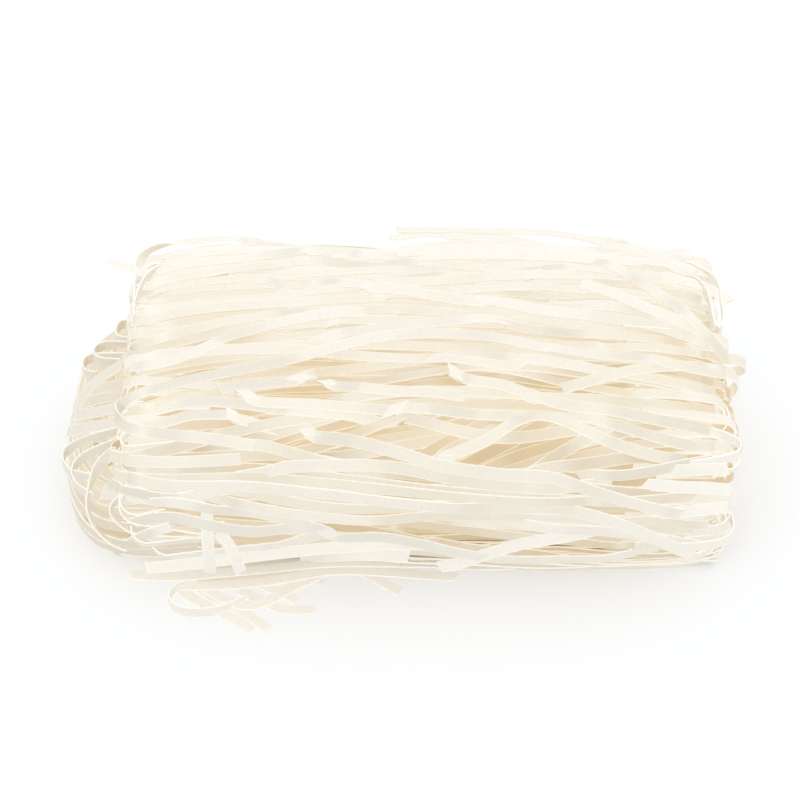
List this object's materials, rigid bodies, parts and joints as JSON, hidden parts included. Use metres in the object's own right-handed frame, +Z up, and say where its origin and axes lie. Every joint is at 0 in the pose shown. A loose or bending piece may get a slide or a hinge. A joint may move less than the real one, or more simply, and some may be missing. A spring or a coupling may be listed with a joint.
{
  "type": "bundle of dried flat noodles",
  "caption": "Pressed block of dried translucent ribbon noodles, looped at both ends, with a lower fold standing out at the left and loose strands in front",
  "frame": {"origin": "on the table at the middle of the footprint", "axes": "+Z up, +X along the ribbons towards the end without the lower fold, -Y towards the loose strands in front"},
  "size_m": [0.214, 0.1388, 0.0595],
  "materials": {
    "noodle": "satin translucent dried starch"
  },
  "bodies": {
    "root": {"noodle_bundle": "noodle"}
  },
  "joints": []
}
